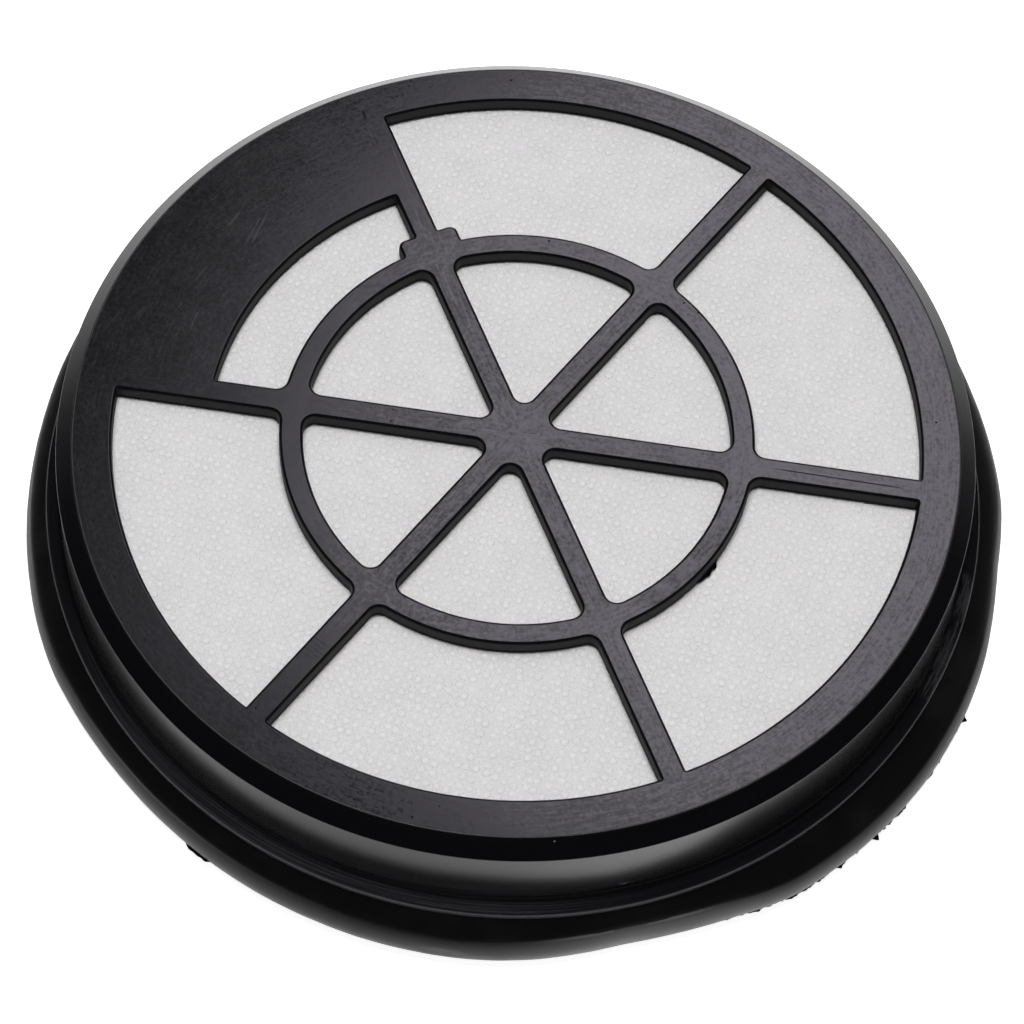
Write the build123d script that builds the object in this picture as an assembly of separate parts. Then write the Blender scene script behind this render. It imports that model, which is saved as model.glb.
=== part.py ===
"""Round vacuum exhaust filter: spoked grille frame, cover fleece, pleated media and rubber seal bead.

Millimetres. The origin is at the centre of the foot, +Z runs up the axis to the grille.
"""
from build123d import *
import os
from math import atan2, ceil, cos, degrees, hypot, radians, sin, sqrt

# Driving dimensions: face of the grille
FACE_R = 70.0            # outer edge of the flat face, where the chamfer starts
RIM_CHAMFER = 2.7        # 45 degree chamfer between face and side wall
RIM_W = 6.25             # flat ring from the windows to the edge of the face
RING_IN_R = 33.8         # inside of the inner ring
RING_W = 3.75            # width of the inner ring
SPOKE_COUNT = 6
SPOKE_W = 4.1            # width of each spoke
GRILLE_T = 2.9           # thickness of the grille
HUB_FILLET = 1.8         # rounding where two spokes meet at the hub
RING_FILLET = 1.9        # rounding where a spoke meets the inner ring

# Driving dimensions: closed panel and locating tab
PANEL_SECTOR = 2         # sector, counted from the +X spoke, whose outer part is closed
PANEL_GAP = 11.15        # width of the narrow window left between inner ring and panel
TAB_W = 10.0             # locating tab across the spoke that starts the panel sector
TAB_REACH = 2.65         # how far the tab stands out from the inner ring
TAB_CORNER = 1.3         # rounding of the tab's outer corners

# Driving dimensions: side wall, flange and seal
HEIGHT = 29.5            # overall height
WALL_T = 2.2             # wall of the spigot that carries the seal
SPIGOT_STEP = 0.7        # the spigot is this much smaller in radius than the side wall
FLANGE_W = 2.5           # flange beyond the side wall
FLANGE_EDGE = 0.9        # upright edge of the flange
LEDGE_DROP = 1.4         # fall of the flange's sloping top
SEAL_H = 11.0            # height of the rubber seal
SEAL_W = 4.15            # width of its flat top and underside
SEAL_BULGE = 3.05        # how far its rounded outside swells beyond them
SEAL_LIFT = 0.2          # its underside above the foot

# Driving dimensions: what the frame holds
FLEECE_T = 0.6           # thickness of the cover fleece
POTTING_W = 1.8          # width of the hot-melt ring
POTTING_H = 6.0          # height of the hot-melt ring
MEDIA_T = 0.6            # thickness of the filter paper
PLEAT_PITCH = 4.6        # fold to fold
MEDIA_RECESS = 2.5       # lower folds above the foot

# Clearances
FLEECE_CLEARANCE = 0.3   # fleece to the side wall, on radius
SEAT_CLEARANCE = 0.05    # seal on its spigot and hot-melt against wall and media, on radius

# Sizes that follow
window_r = FACE_R - RIM_W
ring_out_r = RING_IN_R + RING_W
panel_r = ring_out_r + PANEL_GAP
wall_r = FACE_R + RIM_CHAMFER
spigot_r = wall_r - SPIGOT_STEP
inner_r = spigot_r - WALL_T
flange_r = wall_r + FLANGE_W
flange_under_z = SEAL_LIFT + SEAL_H
flange_top_z = flange_under_z + FLANGE_EDGE
ledge_z = flange_top_z + LEDGE_DROP
grille_under_z = HEIGHT - GRILLE_T
media_top_z = grille_under_z - FLEECE_T
media_r = inner_r - POTTING_W
sector_angle = 360 / SPOKE_COUNT


def on_spoke(angle, radius, side):
    """Point where a spoke's edge crosses a circle; side is +1 or -1 for its left or right edge."""
    half = SPOKE_W / 2
    along = sqrt(radius**2 - half**2)
    turn = radians(angle)
    return Vector(along * cos(turn) - side * half * sin(turn), along * sin(turn) + side * half * cos(turn))


def arc_about_axis(start, end):
    """Counter-clockwise arc about the origin between two points of equal radius."""
    start_angle = degrees(atan2(start.Y, start.X))
    span = (degrees(atan2(end.Y, end.X)) - start_angle) % 360
    return CenterArc((0, 0), hypot(start.X, start.Y), start_angle, span)


def hub_window(sector):
    """Window between two spokes inside the inner ring, rounded at all three corners."""
    start, end = sector * sector_angle, (sector + 1) * sector_angle
    middle = radians((start + end) / 2)
    tip_reach = SPOKE_W / 2 / sin(radians(sector_angle / 2))
    tip = Vector(tip_reach * cos(middle), tip_reach * sin(middle))
    first, last = on_spoke(start, RING_IN_R, 1), on_spoke(end, RING_IN_R, -1)
    face = make_face([Line(tip, first), arc_about_axis(first, last), Line(last, tip)])
    corners = face.vertices().sort_by(lambda v: hypot(v.X, v.Y))
    face = fillet(corners[1:], RING_FILLET)
    return fillet(face.vertices().sort_by(lambda v: hypot(v.X, v.Y))[:1], HUB_FILLET)


def outer_window(sector):
    """Window between two spokes outside the inner ring, rounded at its inner corners."""
    start, end = sector * sector_angle, (sector + 1) * sector_angle
    far_r = panel_r if sector == PANEL_SECTOR else window_r
    near_first, near_last = on_spoke(start, ring_out_r, 1), on_spoke(end, ring_out_r, -1)
    far_first, far_last = on_spoke(start, far_r, 1), on_spoke(end, far_r, -1)
    face = make_face(
        [
            Line(near_first, far_first),
            arc_about_axis(far_first, far_last),
            Line(far_last, near_last),
            arc_about_axis(near_first, near_last),
        ]
    )
    corners = face.vertices().sort_by(lambda v: hypot(v.X, v.Y))
    return fillet(corners[:2], RING_FILLET)


def locating_tab():
    """Plan of the tab on the inner ring, square across the spoke that starts the panel sector."""
    near, far = RING_IN_R + RING_W / 2, ring_out_r + TAB_REACH
    block = Pos((near + far) / 2, 0) * Rectangle(far - near, TAB_W)
    block = fillet(block.vertices().sort_by(Axis.X)[2:], TAB_CORNER)
    return Rot(0, 0, PANEL_SECTOR * sector_angle) * block


def grille_frame():
    """One moulding: grille, chamfered rim, side wall, flange and the spigot under the seal."""
    plan = Circle(FACE_R)
    for sector in range(SPOKE_COUNT):
        plan -= hub_window(sector)
        plan -= outer_window(sector)
    plan += locating_tab()
    grille = Pos(0, 0, grille_under_z) * extrude(plan, GRILLE_T)
    section = Polyline(
        (inner_r, 0, 0),
        (spigot_r, 0, 0),
        (spigot_r, 0, flange_under_z),
        (flange_r, 0, flange_under_z),
        (flange_r, 0, flange_top_z),
        (wall_r, 0, ledge_z),
        (wall_r, 0, HEIGHT - RIM_CHAMFER),
        (FACE_R, 0, HEIGHT),
        (inner_r, 0, HEIGHT),
        close=True,
    )
    return grille + revolve(make_face(section), Axis.Z)


def seal_ring():
    """Rubber ring on the spigot, butted against the flange: flat top and underside, rounded outside."""
    seat_r, edge_r = spigot_r + SEAT_CLEARANCE, spigot_r + SEAL_W
    middle_z = SEAL_LIFT + SEAL_H / 2
    section = [
        Line((seat_r, SEAL_LIFT), (edge_r, SEAL_LIFT)),
        ThreePointArc((edge_r, SEAL_LIFT), (edge_r + SEAL_BULGE, middle_z), (edge_r, flange_under_z)),
        Line((edge_r, flange_under_z), (seat_r, flange_under_z)),
        Line((seat_r, flange_under_z), (seat_r, SEAL_LIFT)),
    ]
    return revolve(Plane.XZ * make_face(section), Axis.Z)


def cover_fleece():
    """Flat disc of fleece against the underside of the grille."""
    return Pos(0, 0, media_top_z) * extrude(Circle(inner_r - FLEECE_CLEARANCE), FLEECE_T)


def pleated_media():
    """Filter paper folded to and fro in straight pleats, trimmed round from fold to fold."""
    height = media_top_z - MEDIA_RECESS
    fold_step = PLEAT_PITCH / 2
    rise = MEDIA_T * hypot(1, height / fold_step)
    upper_fold, lower_fold = media_top_z - MEDIA_T + rise / 2, MEDIA_RECESS + MEDIA_T - rise / 2
    folds = ceil(media_r / fold_step) - 1
    line = []
    for fold in range(-folds - 1, folds + 2):
        line.append((fold * fold_step, upper_fold if fold % 2 else lower_fold))
    above = [(x, 0, z + rise / 2) for x, z in line]
    below = [(x, 0, z - rise / 2) for x, z in reversed(line)]
    sheet = extrude(make_face(Polyline(*above, *below, close=True)), media_r, both=True)
    fold_ends = [(x, sqrt(media_r**2 - x**2)) for x, z in line[1:-1]]
    far_ends = [(x, -y) for x, y in reversed(fold_ends)]
    outline = Polyline((-media_r, 0), *fold_ends, (media_r, 0), *far_ends, close=True)
    return sheet & Pos(0, 0, MEDIA_RECESS) * extrude(make_face(outline), height)


def potting_ring():
    """Hot-melt bead between the pleat ends and the frame, level with the lower folds."""
    outside, inside = Circle(inner_r - SEAT_CLEARANCE), Circle(media_r + SEAT_CLEARANCE)
    return Pos(0, 0, MEDIA_RECESS) * extrude(outside - inside, POTTING_H)


os.makedirs("parts", exist_ok=True)
for make in (grille_frame, seal_ring, cover_fleece, pleated_media, potting_ring):
    export_step(make(), f"parts/{make.__name__}.step")
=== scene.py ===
"""Looks of a round vacuum exhaust filter, laid out as a Blender add-on and run as a script.

Metres, in the frame of the packed model: the origin is at the centre of the foot, +Z runs up to the grille.
"""
from math import asin, atan2, ceil, cos, exp, pi, radians, sin, sqrt, tan

import bmesh
import bpy
from bpy.props import FloatProperty, FloatVectorProperty, IntProperty, PointerProperty
from mathutils import Matrix, Vector, noise
from mathutils.geometry import delaunay_2d_cdt


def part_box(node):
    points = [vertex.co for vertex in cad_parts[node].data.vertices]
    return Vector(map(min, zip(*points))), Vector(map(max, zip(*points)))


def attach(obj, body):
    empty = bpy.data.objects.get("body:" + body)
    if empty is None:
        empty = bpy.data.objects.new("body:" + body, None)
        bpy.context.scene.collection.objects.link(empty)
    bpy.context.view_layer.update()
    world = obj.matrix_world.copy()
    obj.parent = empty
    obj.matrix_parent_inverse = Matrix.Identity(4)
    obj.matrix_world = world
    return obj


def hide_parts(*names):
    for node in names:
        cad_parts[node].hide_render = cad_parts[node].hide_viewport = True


bl_info = {
    "name": "Exhaust filter",
    "version": (1, 0, 0),
    "blender": (4, 5, 0),
    "location": "View3D > Sidebar > Exhaust filter",
    "description": "Builds the looks of a round vacuum exhaust filter on its packed frame",
    "category": "Object",
}

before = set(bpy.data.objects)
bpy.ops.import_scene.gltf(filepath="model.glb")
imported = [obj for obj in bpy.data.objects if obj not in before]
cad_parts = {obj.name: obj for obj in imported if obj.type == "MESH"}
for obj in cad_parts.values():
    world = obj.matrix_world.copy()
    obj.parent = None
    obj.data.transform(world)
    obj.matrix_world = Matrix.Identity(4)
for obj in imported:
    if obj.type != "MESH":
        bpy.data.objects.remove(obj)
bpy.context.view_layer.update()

MM = 0.001
ROOT_BODY = "root"

# Places that the packed model gives
_, FRAME_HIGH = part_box("grille_frame")
SEAL_LOW, SEAL_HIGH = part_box("seal_ring")
FLEECE_LOW, FLEECE_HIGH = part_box("cover_fleece")
MEDIA_LOW, MEDIA_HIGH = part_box("pleated_media")
MELT_LOW, MELT_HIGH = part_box("potting_ring")
TOP_Z = FRAME_HIGH.z
GRILLE_UNDER_Z = FLEECE_HIGH.z
FLANGE_R = FRAME_HIGH.x
FLANGE_UNDER_Z = SEAL_HIGH.z


# Properties

def length(name, description, millimetres):
    """A length property with its default given in millimetres."""
    return FloatProperty(
        name=name, description=description, default=millimetres * MM, unit="LENGTH", precision=5
    )


def turn(name, description, degrees):
    """An angle property with its default given in degrees."""
    return FloatProperty(name=name, description=description, default=radians(degrees), subtype="ANGLE")


def colour(name, description, *linear):
    """A colour property, linear red, green and blue."""
    return FloatVectorProperty(
        name=name, description=description, default=linear, subtype="COLOR", size=3, min=0, max=1
    )


def watts(name, description, power):
    """A lamp's power."""
    return FloatProperty(name=name, description=description, default=power, unit="POWER")


class FrameSizes(bpy.types.PropertyGroup):
    """Sizes of the moulded frame."""

    face_radius: length("Face radius", "Outer edge of the flat face", 70.0)
    rim_chamfer: length("Rim chamfer", "Chamfer between face and side wall", 2.7)
    rim_width: length("Rim width", "Flat ring from the windows to the edge of the face", 6.25)
    ring_inside: length("Ring inside", "Inside radius of the inner ring", 33.8)
    ring_width: length("Ring width", "Width of the inner ring", 3.75)
    spoke_count: IntProperty(name="Spokes", description="Number of spokes", default=6, min=3)
    spoke_width: length("Spoke width", "Width of each spoke", 4.1)
    hub_fillet: length("Hub fillet", "Rounding where two spokes meet at the hub", 1.8)
    ring_fillet: length("Ring fillet", "Rounding where a spoke meets the inner ring", 1.9)
    window_corner: length("Window corner", "Rounding of the sharp window corners", 0.15)
    panel_sector: IntProperty(name="Panel sector", description="Sector whose outer part is closed", default=2)
    panel_gap: length("Panel gap", "Narrow window between inner ring and panel", 11.15)
    tab_width: length("Tab width", "Locating tab across its spoke", 10.0)
    tab_reach: length("Tab reach", "How far the tab stands out from the inner ring", 2.65)
    tab_corner: length("Tab corner", "Rounding of the tab's outer corners", 1.3)
    spigot_step: length("Spigot step", "Spigot radius under the side wall's", 0.7)
    wall_thickness: length("Wall thickness", "Wall of the spigot", 2.2)
    flange_width: length("Flange width", "Flange beyond the side wall", 2.5)
    flange_edge: length("Flange edge", "Upright edge of the flange", 0.9)
    ledge_drop: length("Ledge drop", "Fall of the flange's sloping top", 1.4)
    edge_round: length("Edge rounding", "Rounding of the grille's upper edges", 0.5)
    under_round: length("Under rounding", "Rounding of the grille's lower edges", 0.45)


class SealSizes(bpy.types.PropertyGroup):
    """Sizes of the rubber seal."""

    seat_clearance: length("Seat clearance", "Gap between seal and spigot", 0.05)
    top_width: length("Top width", "Width of the flat top and underside", 4.15)
    flash_height: length("Flash height", "Height of the moulding flash above the foot", 3.4)
    flash_reach: length("Flash reach", "Largest reach of the moulding flash", 0.50)


class FleeceSizes(bpy.types.PropertyGroup):
    """Sizes of the point-bonded cover fleece."""

    dot_pitch: length("Dot pitch", "Spacing of the embossed dots", 1.55)
    dot_height: length("Dot height", "Height of an embossed dot", 0.11)
    dot_turn: turn("Dot turn", "Turn of the grid of dots", 76.8)
    sag: length("Sag", "Unevenness of the laid fleece", 0.12)


class MediaSizes(bpy.types.PropertyGroup):
    """Sizes of the pleated paper and its hot-melt ring."""

    pleat_pitch: length("Pleat pitch", "Fold to fold", 4.6)
    paper: length("Paper", "Thickness of the filter paper", 0.6)
    fold_wander: length("Fold wander", "Unevenness of the folds", 0.35)
    melt_wander: length("Hot-melt wander", "Unevenness of the hot-melt's surface", 0.35)


class Finishes(bpy.types.PropertyGroup):
    """Colours of the finishes."""

    plastic: colour("Plastic", "Moulded frame", 0.0036, 0.0036, 0.0048)
    # Also the colour of the painted highlights and sheen on the flange, the face's outer edge, the lower side
    # wall and the ledge
    plastic_rub_and_sheen: colour("Rubbed plastic", "Frame where it is rubbed", 0.032, 0.030, 0.034)
    # Also the near-black of the painted shade at the foot of the window walls and in the corner above the
    # ledge
    plastic_dull: colour("Dull plastic", "Frame on the window walls", 0.004, 0.004, 0.0045)
    rubber: colour("Rubber", "Seal", 0.0040, 0.0040, 0.0042)
    rubber_bloom: colour("Rubber bloom", "Seal where it has bloomed", 0.0085, 0.0083, 0.0080)
    fleece: colour("Fleece", "Cover fleece", 0.94, 0.925, 0.935)
    fleece_thin: colour("Thin fleece", "Cover fleece where fibres are few", 0.68, 0.67, 0.675)
    paper: colour("Paper", "Filter paper", 0.80, 0.79, 0.75)
    hot_melt: colour("Hot-melt", "Hot-melt ring", 0.74, 0.71, 0.62)
    glint: colour("Glint", "Light that the face mirrors", 0.93, 0.89, 1.0)
    floor: colour("Floor", "Studio floor", 0.85, 0.85, 0.85)
    floor_far: colour("Far floor", "Studio floor beyond the lit middle", 0.12, 0.12, 0.12)
    surroundings: colour("Surroundings", "Dark cloth round the set", 0.012, 0.012, 0.013)


class StageSettings(bpy.types.PropertyGroup):
    """Camera and lamps."""

    turn: turn("Turn", "Turn of the set about the axis", 5.3)
    elevation: turn("Elevation", "Camera above the horizon", 59.45)
    roll: turn("Roll", "Camera roll", 3.516)
    distance: length("Distance", "Camera to the hub", 647.9)
    lens: FloatProperty(name="Lens", description="Focal length in millimetres", default=144.53)
    overhead: watts("Overhead", "Power of the overhead softbox", 8.7)
    glint: watts("Glint", "Power of the lamp that the face mirrors", 5.2)
    side: watts("Side", "Power of the faint lamp beside it", 0.12)


# Node expressions

class Wire:
    """A node's output that takes part in Python expressions: each operator adds one Math node."""

    def __init__(self, tree, socket=None):
        self.tree = tree
        self.socket = socket

    def node(self, kind, settings=None, sockets=None, output=0):
        """Add a node, make its settings, then set or link its sockets, and return one of its outputs."""
        made = self.tree.nodes.new(kind)
        for name, value in (settings or {}).items():
            setattr(made, name, value)
        for key, value in (sockets or {}).items():
            self.feed(made.inputs[key], value)
        return Wire(self.tree, made.outputs[output] if len(made.outputs) else None)

    def also(self, output):
        """Another output of the node that this wire comes from."""
        return Wire(self.tree, self.socket.node.outputs[output])

    def feed(self, socket, value):
        """Link a wire to a socket, or set the socket's own value."""
        if isinstance(value, Wire):
            self.tree.links.new(value.socket, socket)
        else:
            socket.default_value = value

    def math(self, operation, *others):
        """A Math node on this value and the others."""
        values = dict(enumerate((self, *others)))
        return self.node("ShaderNodeMath", {"operation": operation}, values)

    def ramp(self, low, high):
        """0 below low and 1 above high, smooth between; low may be the greater."""
        sockets = {"Value": self, "From Min": low, "From Max": high}
        return self.node("ShaderNodeMapRange", {"interpolation_type": "SMOOTHSTEP"}, sockets)

    def near(self, centre, none, full):
        """1 within full of the centre and 0 beyond none from it, smooth between."""
        return abs(self - centre).ramp(none, full)

    def __add__(self, other):
        return self.math("ADD", other)

    __radd__ = __add__

    def __sub__(self, other):
        return self.math("SUBTRACT", other)

    def __rsub__(self, other):
        return self.node("ShaderNodeMath", {"operation": "SUBTRACT"}, {0: other, 1: self})

    def __mul__(self, other):
        return self.math("MULTIPLY", other)

    __rmul__ = __mul__

    def __truediv__(self, other):
        return self.math("DIVIDE", other)

    def __abs__(self):
        return self.math("ABSOLUTE")


def new_material(name):
    """A material, a wire to start expressions from, and its shader node."""
    made = bpy.data.materials.new(name)
    made.use_nodes = True
    return made, Wire(made.node_tree), made.node_tree.nodes["Principled BSDF"]


def parts_of(vector):
    """The three numbers of a vector wire."""
    split = vector.node("ShaderNodeSeparateXYZ", None, {0: vector})
    return [split.also(axis) for axis in "XYZ"]


def away_from(x, y, centre=(0.0, 0.0)):
    """How far a place on a plane lies from a centre."""
    x, y = x - centre[0], y - centre[1]
    return (x * x + y * y).math("SQRT")


def vector_of(start, x, y, z=0.0):
    """A vector wire from three numbers."""
    return start.node("ShaderNodeCombineXYZ", None, {0: x, 1: y, 2: z})


def object_place(start):
    """Object coordinates in millimetres."""
    place = start.node("ShaderNodeTexCoord", output="Object")
    return start.node("ShaderNodeVectorMath", {"operation": "SCALE"}, {0: place, "Scale": 1 / MM})


def mottle(start, place, scale, detail=3.0, roughness=0.55):
    """Noise from 0 to 1."""
    sockets = {"Vector": place, "Scale": scale, "Detail": detail, "Roughness": roughness}
    return start.node("ShaderNodeTexNoise", None, sockets)


def scattered(start, place, scale):
    """Distance to the nearest of scattered points, in their own spacing."""
    return start.node("ShaderNodeTexVoronoi", None, {"Vector": place, "Scale": scale}, output="Distance")


def opaque(value):
    """A colour with its fourth number, or a wire as it is."""
    return value if isinstance(value, Wire) else (*value, 1.0)


def mix_colour(start, factor, first, second, clamped=True):
    """First colour where factor is 0 and second where it is 1; beyond 1 it goes on unless clamped."""
    sockets = {0: factor, 6: opaque(first), 7: opaque(second)}
    return start.node("ShaderNodeMix", {"data_type": "RGBA", "clamp_factor": clamped}, sockets, output=2)


def bump(start, height, strength, distance):
    """Normal of a surface with this height, where distance is in metres."""
    sockets = {"Height": height, "Strength": strength, "Distance": distance}
    return start.node("ShaderNodeBump", None, sockets)


def dress(start, shader, sockets):
    """Set or link the sockets of a shader."""
    for name, value in sockets.items():
        start.feed(shader.inputs[name], value)


def mix_shader(start, factor, shader, other):
    """Pass from a shader to another by a factor, and send the mix out."""
    first = Wire(start.tree, shader.outputs[0])
    surface = start.node("ShaderNodeMixShader", None, {0: factor, 1: first, 2: other})
    start.feed(start.tree.nodes["Material Output"].inputs["Surface"], surface)


def weighed(shares, marks):
    """Sum of marks, each times its share."""
    return sum(marks[name] * share for name, share in shares.items())


# Plastic: places and sizes in millimetres, angles in radians

TOP = TOP_Z / MM
UNDER = GRILLE_UNDER_Z / MM
RING_MIDDLE = 35.7
RING_HALF = 1.9
RING_EDGE = (2.1, 1.8)
# Depths under the face between which something fades in
FACE_DEPTH = (0.006, 0.001)
EDGE_DEPTH = (0.35, 0.20)
FACE_EDGE_LINE_DEPTH = (0.30, 0.15)
WINDOW_DEPTH = (0.15, 0.45)
# Heights between which something fades in
# Heights between which the painted shade at the foot of the window walls fades in
SHADED_FOOT_TOP = (UNDER + 1.1, UNDER + 0.4)
LEDGE_FOOT = (11.9, 12.3)
LEDGE_TOP = (14.2, 13.4)
LOW_WALL_TOP = (18.5, 15.5)
SIDE_WALL_TOP = (26.9, 26.7)
# Radii between which something fades in
WINDOW_REACH = (64.6, 64.2)
PANEL_REACH = (48.0, 50.0)
HUB_START = (3.0, 7.0)
HUB_END = (36.0, 31.0)
WALL_REACH = (72.4, 72.6)
CORNER_REACH = (73.5, 73.2)
SIDE_WALL = (72.3, 72.6)
FLANGE_REACH = (74.8, 75.0)
# Places along X between which the face turns from its dull left to its worn right
WORN_SIDE = (-58.0, -8.0)
# Marks about a radius, height or angle: the middle, and how far from it they are gone and whole
# Radius of a painted highlight line along the rounded outer edge of the face
FACE_EDGE_LINE = (69.92, 0.14, 0.07)
# Height of a painted highlight line along the flange's edge
FLANGE_HIGHLIGHT_HEIGHT = (11.7, 0.55, 0.40)
# Height of the painted shade in the corner between the side wall and the ledge
CORNER_SHADE_HEIGHT = (13.5, 0.55, 0.35)
FLOW_HEIGHT = (12.8, 1.0, 0.5)
FLOW_SIDE = (-0.218, 0.17, 0.14)
# Angle round which the painted sheen on the lower side wall and ledge is strongest
SHEEN_SIDE = (-1.90, 0.85, 0.35)
SMEAR_SIDE = (-0.49, 0.42, 0.30)
RIM_SCRATCH = (67.35, 0.16, 0.04)
RIM_SCRATCH_SIDE = (0.445, 0.23, 0.17)
PANEL_SPREAD = (0.53, 0.50)
# Marks about a point of the face
GATE = (17.5, 28.6)
GATE_FADE = (1.0, 0.3)
HATCH = (-25.5, -42.5)
HATCH_FADE = (2.8, 1.9)
HATCH_LINES = 8.0
# Straight marks on the face: two ends and half a width
SCRATCHES = (
    ((40.0, 0.55), (62.5, 0.25), 0.12),
    ((-29.0, 52.2), (-20.0, 34.0), 0.14),
    ((-17.9, 30.1), (-14.2, 22.6), 0.16),
    ((-47.6, 28.0), (-45.9, 35.0), 0.30),
    ((-48.6, 27.5), (-46.9, 33.8), 0.20),
    ((-52.0, 30.6), (-50.2, 34.3), 0.26),
    ((-54.3, 10.5), (-53.6, 14.5), 0.22),
)
DARK_MARKS = (((-34.2, 57.0), (-33.2, 55.0), 0.30), ((40.0, 0.20), (62.5, -0.10), 0.13))
# How much each mark greys the colour, on the face and off it; off the face, the lines along the flange's edge
# and the face's outer edge are painted highlights and the streaks on the lower side wall and ledge are
# painted sheen
RUB_ON_FACE = {"grain": 1.2, "streak": 0.5, "scratches": 0.8, "gate": 0.9, "brushed": 0.25}
RUB_AND_SHEEN_ELSEWHERE = {"flow": 1.0, "flange": 3.4, "drawn": 1.1, "face_edge_highlight": 2.2, "dust": 6.0}
MOST_RUBBED = 6.0
# How much each mark roughens the surface, on the face and off it
WORN_ON_FACE = {"near_hub": 0.033, "smear": 0.075, "dark": 0.4, "pits": 0.4, "hatch": 0.10, "brushed": 0.03}
DULLER = {"edge": 0.13, "in_window": 0.36, "flow": 0.2, "wall": 0.04, "drawn": 0.10}
SMOOTH, SMOOTHEST = 0.16, 0.09


def line_mark(x, y, start, end, half_width):
    """A thin straight mark between two places on the face: 1 on the line, 0 away from it."""
    way = Vector(end) - Vector(start)
    reach = way.length / 2
    way.normalize()
    middle = (Vector(start) + Vector(end)) / 2
    along = (x - middle.x) * way.x + (y - middle.y) * way.y
    across = (y - middle.y) * way.x - (x - middle.x) * way.y
    return abs(along).ramp(reach, reach * 0.6) * abs(across).ramp(half_width, half_width * 0.4)


class FramePlace:
    """Where a point of the frame lies, and which part of the frame it is on."""

    def __init__(self, start, sizes):
        self.place = object_place(start)
        self.x, self.y, self.z = parts_of(self.place)
        self.radius = away_from(self.x, self.y)
        self.angle = self.y.math("ARCTAN2", self.x)
        self.depth = TOP - self.z
        sector = 2 * pi / sizes.spoke_count
        self.spoke = (self.angle / sector).math("ROUND")
        from_spoke = self.angle - self.spoke * sector
        self.across = self.radius * from_spoke.math("SINE")
        self.along = self.radius * from_spoke.math("COSINE")
        self.on_spoke = (
            abs(self.across).math("LESS_THAN", sizes.spoke_width / MM / 2)
            * self.radius.math("LESS_THAN", (sizes.face_radius - sizes.rim_width) / MM)
            * abs(self.radius - RING_MIDDLE).math("GREATER_THAN", RING_HALF)
        )
        self.on_face = self.depth.ramp(*FACE_DEPTH)
        self.in_window = self.depth.ramp(*WINDOW_DEPTH) * self.radius.ramp(*WINDOW_REACH)
        panel_middle = (sizes.panel_sector + 0.5) * sector
        self.on_panel = self.angle.near(panel_middle, *PANEL_SPREAD) * self.radius.ramp(*PANEL_REACH)


def plastic_streaks(start, at):
    """Fine streaks that run round the rings and along the spokes."""
    round_ring = vector_of(start, at.radius * 2.4, at.angle * 13.0)
    along_spoke = vector_of(start, at.across * 2.4, at.along * 0.20, at.spoke * 5.0 + 40.0)
    ways = {0: at.on_spoke, 4: round_ring, 5: along_spoke}
    place = start.node("ShaderNodeMix", {"data_type": "VECTOR"}, ways, output=1)
    return mottle(start, place, 1.0, 3.0, 0.7)


def plastic_marks(start, at, grain, streak, cloud):
    """Every kind of mark on the moulding, painted highlight and sheen among them, each from 0 to 1 where it
    lies.
    """
    # Painted sheen: streaky light on the ledge and the lower side wall, fading out up the wall
    drawn = mottle(start, vector_of(start, at.angle * 3.0, (at.z - at.radius) * 2.6), 1.0, 2.0, 0.6)
    low = at.z.ramp(*LEDGE_TOP) * 0.4 + at.z.ramp(*LOW_WALL_TOP) * 0.6
    drawn = (drawn.ramp(0.36, 0.70) * 0.7 + 0.3) * low * at.z.ramp(*LEDGE_FOOT) * at.radius.ramp(*WALL_REACH)
    slanted = vector_of(start, (at.x * 0.85 - at.y * 0.53) * 3.0, (at.x * 0.53 + at.y * 0.85) * 0.16)
    brushed = mottle(start, slanted, 1.0, 2.0, 0.6).ramp(0.54, 0.72)
    patches = mottle(start, at.place, 0.35, 2.0).ramp(0.36, 0.60) * 0.8 + 0.2
    rim_scratch = at.radius.near(*RIM_SCRATCH) * at.angle.near(*RIM_SCRATCH_SIDE)
    hatched = (at.along * HATCH_LINES).math("SINE").ramp(0.1, 0.8)
    return {
        "grain": (grain - 0.42).math("MAXIMUM", 0.0),
        "streak": streak.ramp(0.50, 0.80),
        "scratches": rim_scratch + sum(line_mark(at.x, at.y, *mark) for mark in SCRATCHES),
        "dark": sum(line_mark(at.x, at.y, *mark) for mark in DARK_MARKS),
        "gate": away_from(at.x, at.y, GATE).ramp(*GATE_FADE),
        "hatch": away_from(at.x, at.y, HATCH).ramp(*HATCH_FADE) * hatched,
        "brushed": brushed * at.on_panel * cloud.ramp(0.44, 0.56),
        "smear": at.angle.near(*SMEAR_SIDE) * at.radius.near(RING_MIDDLE, *RING_EDGE) * patches,
        "near_hub": at.on_spoke * at.radius.ramp(*HUB_END) * at.radius.ramp(*HUB_START),
        "pits": scattered(start, at.place, 0.33).ramp(0.075, 0.045) * cloud.ramp(0.50, 0.56),
        "dust": scattered(start, at.place, 0.085).ramp(0.017, 0.009),
        "edge": at.depth.ramp(*EDGE_DEPTH) * (1 - at.on_face),
        # Painted highlight: a light line along the rounded outer edge of the face
        "face_edge_highlight": at.radius.near(*FACE_EDGE_LINE) * at.depth.ramp(*FACE_EDGE_LINE_DEPTH) * (1 - at.on_face),
        "in_window": at.in_window,
        "wall": at.radius.ramp(*SIDE_WALL) * at.z.ramp(*SIDE_WALL_TOP),
        # Painted sheen on the lower side wall and ledge
        "drawn": drawn * (at.angle.near(*SHEEN_SIDE) * 0.8 + 0.2),
        "flow": at.z.near(*FLOW_HEIGHT) * at.angle.near(*FLOW_SIDE) * streak.ramp(0.40, 0.60),
        # Painted highlight: a light line along the flange's edge
        "flange": at.radius.ramp(*FLANGE_REACH) * at.z.near(*FLANGE_HIGHLIGHT_HEIGHT),
    }


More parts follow.
